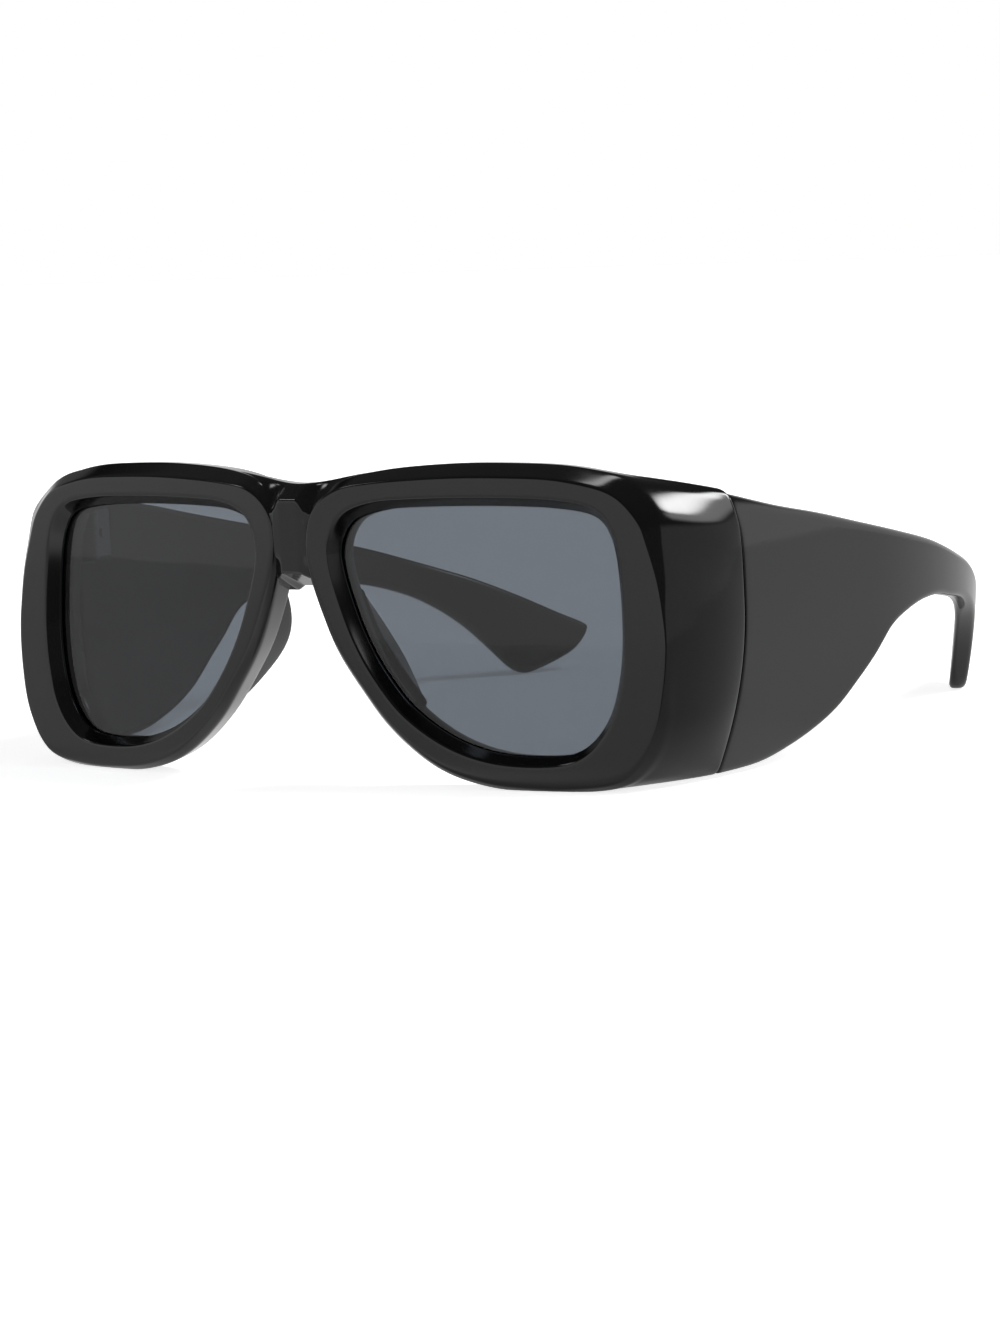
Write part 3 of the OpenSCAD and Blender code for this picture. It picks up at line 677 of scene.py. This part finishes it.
TAIL_SLOPE = BEND_POWER * BEND_IN / BEND_LEN
TEMPLE_STATIONS = 96
BAR_STEPS = 14
ARM_CORNER_R, MOST_CORNER = 1.2, 0.3
ROUND_POINTS = (0.9, 0.6, 0.3)
LEAST_THICK = 0.1
# Rounding of the two ends: distance from the end, and how far the section is drawn in there
BUTT_ROUND = [(0, 0.3), (0.09, 0.09), (0.35, 0)]
TIP_ROUND = [(1.1, 0), (0.5, 0.15), (0.12, 0.5), (0, 1.0)]
BUTT_CLEAR, TIP_CLEAR = 1.0, 1.2


def height_at(table, share):
    """Smooth height along one of the two tables."""
    i = max(k for k in range(len(table) - 1) if table[k][0] <= share)
    a, b, c, d = table[max(0, i - 1)], table[i], table[i + 1], table[min(len(table) - 1, i + 2)]
    span = c[0] - b[0]
    t = (share - b[0]) / span
    slope_b, slope_c = (c[1] - a[1]) / (c[0] - a[0]), (d[1] - b[1]) / (d[0] - b[0])
    return SHIELD_TOP * (b[1] * (2 * t ** 3 - 3 * t ** 2 + 1) + c[1] * (3 * t ** 2 - 2 * t ** 3)
                         + span * (slope_b * (t ** 3 - 2 * t ** 2 + t) + slope_c * (t ** 3 - t ** 2)))


def bend_at(y):
    q = max(0.0, y - BEND_Y) / BEND_LEN
    return BEND_IN * q ** BEND_POWER if q < 1 else BEND_IN + TAIL_SLOPE * BEND_LEN * (q - 1)


def bend_slope(y):
    return TAIL_SLOPE * min(1.0, max(0.0, y - BEND_Y) / BEND_LEN) ** (BEND_POWER - 1)


def butt_fade(y):
    return 1 - min(1.0, max(0.0, (y - THICK_Y) / (THIN_Y - THICK_Y)))


def outer_in(y, z):
    if z < WIDEST_Z:
        fade = 1 - min(1.0, max(0.0, (y - JOINT_Y) / (TUCK_FADE_Y - JOINT_Y)))
        return mix(ARM_LOW_TUCK, TUCK_LOW, fade) * ((WIDEST_Z - z) / (WIDEST_Z - SIDE_LOW_Z)) ** 2
    return TUCK_TOP * ((z - WIDEST_Z) / (SHIELD_TOP - WIDEST_Z)) ** TOP_ROUND_REAR


def inner_in(y, z):
    thin, wall, fade = outer_in(y, z), inner_tuck(z, SHIELD_TOP), butt_fade(y)
    follow = INNER_FOLLOW if z < WIDEST_Z else 1
    return min(thin, wall * fade + thin * follow * (1 - fade))


def temple_section(share, shrink=0.0):
    """Loop round the temple at a share of its length; shrink draws it in to round an end."""
    y = JOINT_Y + JOINT_GAP + (TEMPLE_REACH - JOINT_Y - JOINT_GAP) * share
    top = height_at(TEMPLE_TOP_SHARES, share) - shrink
    low = max(0.0, height_at(TEMPLE_LOW_SHARES, share)) + shrink
    slope = bend_slope(y)
    along = math.hypot(1, slope)
    wall = mix(ARM_T, SHIELD_T, butt_fade(y))
    corner = min(ARM_CORNER_R, (top - low) * MOST_CORNER)

    def place(z, inner, draw=0.0):
        thick_out, thick_in = -outer_in(y, z) - shrink, -wall - inner_in(y, z) + shrink
        r = mix(thick_in, thick_out, 0.5 + (-0.5 if inner else 0.5) * (1 - draw))
        return Vector((SHIELD_SPAN / 2 - bend_at(y) + r / along, y + r * slope / along, z))

    def draw(k):
        thick = wall - 2 * shrink
        return (1 - math.cos(math.pi / 2 * k)) * min(1.0, 2 * corner / max(LEAST_THICK, thick))

    def drop(k):
        return corner * (1 - math.sin(math.pi / 2 * k))

    up = [k / BAR_STEPS for k in range(BAR_STEPS + 1)]
    outer = [place(low + drop(k), False, draw(k)) for k in ROUND_POINTS]
    outer += [place(mix(low + corner, top - corner, t), False) for t in up]
    outer += [place(top - drop(k), False, draw(k)) for k in reversed(ROUND_POINTS)]
    inner = [place(top - drop(k), True, draw(k)) for k in ROUND_POINTS]
    inner += [place(mix(top - corner, low + corner, t), True) for t in up]
    inner += [place(low + drop(k), True, draw(k)) for k in reversed(ROUND_POINTS)]
    return outer + inner


def make_temple():
    reach = TEMPLE_REACH - JOINT_Y - JOINT_GAP
    sections = [temple_section(away / reach, shrink) for away, shrink in BUTT_ROUND]
    for k in range(1, TEMPLE_STATIONS):
        share = k / TEMPLE_STATIONS
        if share * reach > BUTT_CLEAR and (1 - share) * reach > TIP_CLEAR:
            sections.append(temple_section(share))
    sections += [temple_section(1 - away / reach, shrink) for away, shrink in TIP_ROUND]
    return sweep(sections)


def temple_object(name, turn):
    arm = baked(piece(name, turn(make_temple()), subdivide=1))
    room = piece("room", turn(pocket(HINGE_Y - POCKET_OVER, HINGE_Y + LEAF_GAP + TEMPLE_LEAF_LEN)))
    carved(arm, [room])
    for face in arm.data.polygons:
        face.use_smooth = True
    return arm


# Materials

class Wire:
    """A node's output, or a number, in an expression that adds Math nodes."""

    def __init__(self, tree, socket):
        self.tree = tree
        self.socket = socket

    def _math(self, operation, a, b):
        return self.tree.node("ShaderNodeMath", {"operation": operation}, {0: a, 1: b}).out(0)

    def __add__(self, other):
        return self._math("ADD", self, other)

    def __radd__(self, other):
        return self._math("ADD", other, self)

    def __sub__(self, other):
        return self._math("SUBTRACT", self, other)

    def __rsub__(self, other):
        return self._math("SUBTRACT", other, self)

    def __mul__(self, other):
        return self._math("MULTIPLY", self, other)

    def __rmul__(self, other):
        return self._math("MULTIPLY", other, self)


class Made:
    """A node that was just added."""

    def __init__(self, tree, node):
        self.tree = tree
        self.made = node

    def out(self, key=0):
        return Wire(self.tree, self.made.outputs[key])


class Tree:
    """Node tree of a material or a world."""

    def __init__(self, owner):
        owner.use_nodes = True
        self.nodes = owner.node_tree.nodes
        self.links = owner.node_tree.links
        self.nodes.clear()

    def node(self, kind, settings=None, inputs=None):
        made = self.nodes.new(kind)
        for key, value in (settings or {}).items():
            if key == "stops":
                ramp = made.color_ramp
                while len(ramp.elements) < len(value):
                    ramp.elements.new(0.5)
                for element, (place, colour) in zip(ramp.elements, value):
                    element.position = place
                    element.color = colour
            else:
                setattr(made, key, value)
        for key, value in (inputs or {}).items():
            if isinstance(value, Wire):
                self.links.new(value.socket, made.inputs[key])
            else:
                made.inputs[key].default_value = value
        return Made(self, made)


def grey(value):
    return (value, value, value, 1)


def new_material(name):
    material = bpy.data.materials.new(name)
    return material, Tree(material)


def black_moulding():
    """Polished black plastic with faint polishing haze and hairlines."""
    material, tree = new_material("polished_black")
    place = tree.node("ShaderNodeTexCoord").out("Object")
    haze = tree.node("ShaderNodeTexNoise", {}, {"Vector": place, "Scale": 90.0, "Detail": 3.0}).out("Fac")
    grain = tree.node("ShaderNodeTexNoise", {},
                      {"Vector": place, "Scale": 2600.0, "Detail": 2.0}).out("Fac")
    rough = 0.075 + haze * 0.05 + grain * 0.02
    bump = tree.node("ShaderNodeBump", {},
                     {"Strength": 0.02, "Distance": 0.00005, "Height": grain}).out(0)
    tint = tree.node("ShaderNodeMix", {"data_type": "RGBA"},
                     {"Factor": haze, 6: (0.0025, 0.0025, 0.0027, 1), 7: (0.004, 0.004, 0.0043, 1)}).out(2)
    surface = tree.node("ShaderNodeBsdfPrincipled", {}, {
        "Base Color": tint, "Roughness": rough, "IOR": 1.49, "Normal": bump}).out(0)
    tree.node("ShaderNodeOutputMaterial", {}, {"Surface": surface})
    return material


def smoke_glass():
    """Smoke-tinted lens, polished on both sides."""
    material, tree = new_material("smoke_lens")
    place = tree.node("ShaderNodeTexCoord").out("Object")
    wave = tree.node("ShaderNodeTexNoise", {}, {"Vector": place, "Scale": 14.0, "Detail": 1.0}).out("Fac")
    clear = tree.node("ShaderNodeBsdfTransparent", {}, {"Color": (0.299, 0.321, 0.348, 1)}).out(0)
    gloss = tree.node("ShaderNodeBsdfPrincipled", {}, {
        "Base Color": grey(1.0), "Roughness": 0.015 + wave * 0.01, "Metallic": 1.0}).out(0)
    edge = tree.node("ShaderNodeFresnel", {}, {"IOR": 1.5}).out(0)
    outside = 1 - tree.node("ShaderNodeNewGeometry").out("Backfacing")
    surface = tree.node("ShaderNodeMixShader", {}, {0: edge * outside, 1: clear, 2: gloss}).out(0)
    tree.node("ShaderNodeOutputMaterial", {}, {"Surface": surface})
    return material


def hinge_metal():
    """Plated hinge metal with fine brushing."""
    material, tree = new_material("hinge_plating")
    place = tree.node("ShaderNodeTexCoord").out("Object")
    grain = (400.0, 400.0, 6000.0)
    stretched = tree.node("ShaderNodeMapping", {}, {"Vector": place, "Scale": grain}).out(0)
    brush = tree.node("ShaderNodeTexNoise", {},
                      {"Vector": stretched, "Scale": 1.0, "Detail": 3.0}).out("Fac")
    tint = tree.node("ShaderNodeMix", {"data_type": "RGBA"},
                     {"Factor": brush, 6: (0.16, 0.16, 0.17, 1), 7: (0.24, 0.24, 0.25, 1)}).out(2)
    surface = tree.node("ShaderNodeBsdfPrincipled", {}, {
        "Base Color": tint, "Roughness": 0.22 + brush * 0.16, "Metallic": 1.0}).out(0)
    tree.node("ShaderNodeOutputMaterial", {}, {"Surface": surface})
    return material


def dress(obj, material):
    obj.data.materials.clear()
    obj.data.materials.append(material)


# Stage, lights and camera

FLOOR_SIZE = 6.0
# The studio seen from the glasses: pale floor and walls that are dimmer on the right, a dark
# ceiling, a black screen to the right of the camera and a dark panel behind on the left. On the
# floor the dimmer right side and the black screen are painted reflection, seen by glossy rays only.
# BOXES are the soft lights above: turn, rise, inner and outer angle, strength
WALL_TONE, CEILING_TONE, SCREEN_TONE = 0.92, 0.09, 0.13
CEILING_FROM, CEILING_TO = 0.33, 0.46
SCREEN_TURN, SCREEN_INNER, SCREEN_OUTER = 52, 10, 13
DIM_TURN, DIM_INNER, DIM_OUTER, DIM_SHARE = 78, 12, 50, 0.42
BOXES = [(129, 50, 4, 14, 20.0), (110, 38, 4, 14, 3.0), (-68, 49, 2, 7, 5.0), (-145, 70, 1, 5, 5.0)]
PANEL_TURN, PANEL_RISE, PANEL_INNER, PANEL_OUTER, PANEL_SHARE = -125, 22, 8, 20, 0.85
# Painted reflection: from SCREEN_FROM to SCREEN_TO away from the glasses the black screen fades in on the
# floor, for glossy rays only
SCREEN_FROM, SCREEN_TO = 0.09, 0.13
PAPER, FLOOR_GLOW = 0.8, 0.8
# The floor is brighter in the glasses' reflections close to them than further away: painted shade, which
# darkens the floor in reflections only
NEAR_TONE, FAR_TONE, FAR_FROM, FAR_TO = 0.75, 0.5, 0.05, 0.11


def heading(turn, rise=0):
    """Direction at an angle to the right of the front and an angle upwards, in degrees."""
    turn, rise = math.radians(turn), math.radians(rise)
    return Vector((math.sin(turn) * math.cos(rise), -math.cos(turn) * math.cos(rise), math.sin(rise)))


def spot(tree, direction, middle, inner, outer):
    """1 within inner degrees of the middle, 0 beyond outer degrees."""
    facing = tree.node("ShaderNodeVectorMath", {"operation": "DOT_PRODUCT"},
                       {0: direction, 1: middle}).out("Value")
    return ramp(tree, facing, math.cos(math.radians(outer)), math.cos(math.radians(inner)))


def ramp(tree, value, low, high):
    """Smooth step of a value from 0 at low to 1 at high."""
    return tree.node("ShaderNodeMapRange", {"interpolation_type": "SMOOTHSTEP"},
                     {"Value": value, "From Min": low, "From Max": high}).out(0)


def walls(tree, direction, screen_share=1.0):
    """Tone of the studio's surroundings by their level direction from the glasses."""
    flat = tree.node("ShaderNodeVectorMath", {"operation": "MULTIPLY"},
                     {0: direction, 1: (1, 1, 0)}).out(0)
    level = tree.node("ShaderNodeVectorMath", {"operation": "NORMALIZE"}, {0: flat}).out(0)
    dim = 1 - spot(tree, level, heading(DIM_TURN), DIM_INNER, DIM_OUTER) * DIM_SHARE
    screen = spot(tree, level, heading(SCREEN_TURN), SCREEN_INNER, SCREEN_OUTER) * screen_share
    return dim * (1 - screen) + screen * SCREEN_TONE


def ray_share(tree, *kinds):
    """1 for a ray of one of these kinds."""
    path = tree.node("ShaderNodeLightPath")
    share = path.out(kinds[0])
    for kind in kinds[1:]:
        share = share + path.out(kind)
    return tree.node("ShaderNodeClamp", {}, {"Value": share}).out(0)


def make_floor():
    bm = bmesh.new()
    bmesh.ops.create_grid(bm, x_segments=2, y_segments=2, size=FLOOR_SIZE / 2)
    mesh = bpy.data.meshes.new("pale_floor")
    bm.to_mesh(mesh)
    bm.free()
    floor = bpy.data.objects.new("pale_floor", mesh)
    bpy.context.scene.collection.objects.link(floor)
    material, tree = new_material("pale_floor")
    place = tree.node("ShaderNodeTexCoord").out("Object")
    centre = tree.node("ShaderNodeVectorMath", {"operation": "SUBTRACT"},
                       {0: place, 1: (0, -MIDDLE_Y * MM, 0)}).out(0)
    away = tree.node("ShaderNodeVectorMath", {"operation": "LENGTH"}, {0: centre}).out("Value")
    # Painted reflection: for glossy rays the floor takes the studio's tone, dimmer on the right and black
    # in the screen's direction further out; the camera sees it plain
    tone = walls(tree, centre, ramp(tree, away, SCREEN_FROM, SCREEN_TO))
    seen = ray_share(tree, "Is Camera Ray", "Is Glossy Ray", "Is Transmission Ray")
    paper = tree.node("ShaderNodeBsdfDiffuse", {}, {"Color": grey(PAPER)}).out(0)
    glow = tree.node("ShaderNodeEmission", {}, {"Color": grey(1.0), "Strength": FLOOR_GLOW}).out(0)
    bright = tree.node("ShaderNodeAddShader", {}, {0: paper, 1: glow}).out(0)
    dark = tree.node("ShaderNodeEmission", {}, {"Color": grey(0.0), "Strength": 0.0}).out(0)
    lit = tree.node("ShaderNodeMixShader", {}, {0: seen, 1: paper, 2: bright}).out(0)
    # Painted shade: glossy rays see the floor darkened to its tone times NEAR_TONE close to the glasses
    # and FAR_TONE further out
    painted_distance_tone = NEAR_TONE - ramp(tree, away, FAR_FROM, FAR_TO) * (NEAR_TONE - FAR_TONE)
    shade = (1 - tone * painted_distance_tone) * ray_share(tree, "Is Glossy Ray")
    surface = tree.node("ShaderNodeMixShader", {}, {0: shade, 1: lit, 2: dark}).out(0)
    tree.node("ShaderNodeOutputMaterial", {}, {"Surface": surface})
    dress(floor, material)


def make_world():
    """Studio round the glasses; the camera sees plain white."""
    world = bpy.data.worlds.new("studio")
    bpy.context.scene.world = world
    tree = Tree(world)
    direction = tree.node("ShaderNodeTexCoord").out("Generated")
    up = tree.node("ShaderNodeSeparateXYZ", {}, {0: direction}).out("Z")
    ceiling = ramp(tree, up, CEILING_FROM, CEILING_TO)
    tone = walls(tree, direction) * WALL_TONE * (1 - ceiling) + ceiling * CEILING_TONE
    panel = spot(tree, direction, heading(PANEL_TURN, PANEL_RISE), PANEL_INNER, PANEL_OUTER)
    tone = tone * (1 - panel * PANEL_SHARE)
    for turn, rise, inner, outer, strength in BOXES:
        tone = tone + spot(tree, direction, heading(turn, rise), inner, outer) * strength
    studio = tree.node("ShaderNodeBackground", {}, {"Color": grey(1.0), "Strength": tone}).out(0)
    white = tree.node("ShaderNodeBackground", {}, {"Color": grey(1.0), "Strength": 1.0}).out(0)
    seen = ray_share(tree, "Is Camera Ray")
    surface = tree.node("ShaderNodeMixShader", {}, {0: seen, 1: studio, 2: white}).out(0)
    tree.node("ShaderNodeOutputWorld", {}, {"Surface": surface})


# The camera looks at a point above the middle of the glasses
IMAGE_W, IMAGE_H = 1000, 1333
CAMERA_TURN, CAMERA_RISE, CAMERA_ROLL = (math.radians(a) for a in (35.7384, 5.8815, -2.7575))
CAMERA_AWAY = 785.67
CAMERA_TARGET = Vector((0, 50 - MIDDLE_Y, 25))
FOCAL_PX = 4244.6
CENTRE_PX = Vector((458.52, 610.38))
SENSOR_H = 36.0


def make_camera():
    back = Vector((math.sin(CAMERA_TURN) * math.cos(CAMERA_RISE),
                   -math.cos(CAMERA_TURN) * math.cos(CAMERA_RISE), math.sin(CAMERA_RISE)))
    level = Vector((math.cos(CAMERA_TURN), math.sin(CAMERA_TURN), 0))
    upright = back.cross(level)
    right = level * math.cos(CAMERA_ROLL) + upright * math.sin(CAMERA_ROLL)
    up = upright * math.cos(CAMERA_ROLL) - level * math.sin(CAMERA_ROLL)
    data = bpy.data.cameras.new("camera")
    data.sensor_fit = "VERTICAL"
    data.sensor_height = SENSOR_H
    data.lens = FOCAL_PX * SENSOR_H / IMAGE_H
    data.shift_x = (IMAGE_W / 2 - CENTRE_PX.x) / IMAGE_H
    data.shift_y = (CENTRE_PX.y - IMAGE_H / 2) / IMAGE_H
    data.clip_start, data.clip_end = 0.01, 20
    camera = bpy.data.objects.new("camera", data)
    turn = Matrix((right, up, back)).transposed().to_4x4()
    turn.translation = (CAMERA_TARGET + back * CAMERA_AWAY) * MM
    camera.matrix_world = turn
    bpy.context.scene.collection.objects.link(camera)
    bpy.context.scene.camera = camera


# Scene

bpy.context.scene.view_settings.view_transform = "Standard"
make_camera()
make_floor()
make_world()

black = black_moulding()
smoke = smoke_glass()
plating = hinge_metal()

front = make_front()
dress(front, black)
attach(front, "front")
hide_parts("front_frame")

for side, turn in SIDES:
    lens = piece(f"smoke_lens_{side}", turn(make_lens()))
    dress(lens, smoke)
    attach(lens, "front")
    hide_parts(f"lens_{side}")

    pad = piece(f"nose_rest_{side}", turn(make_pad()), subdivide=1)
    dress(pad, black)
    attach(pad, "front")
    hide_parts(f"nose_pad_{side}")

    temple = temple_object(f"temple_arm_{side}", turn)
    dress(temple, black)
    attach(temple, f"{side}_temple")
    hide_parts(f"temple_{side}")

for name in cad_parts:
    if name.startswith("hinge_") or "rivets" in name:
        dress(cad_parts[name], plating)
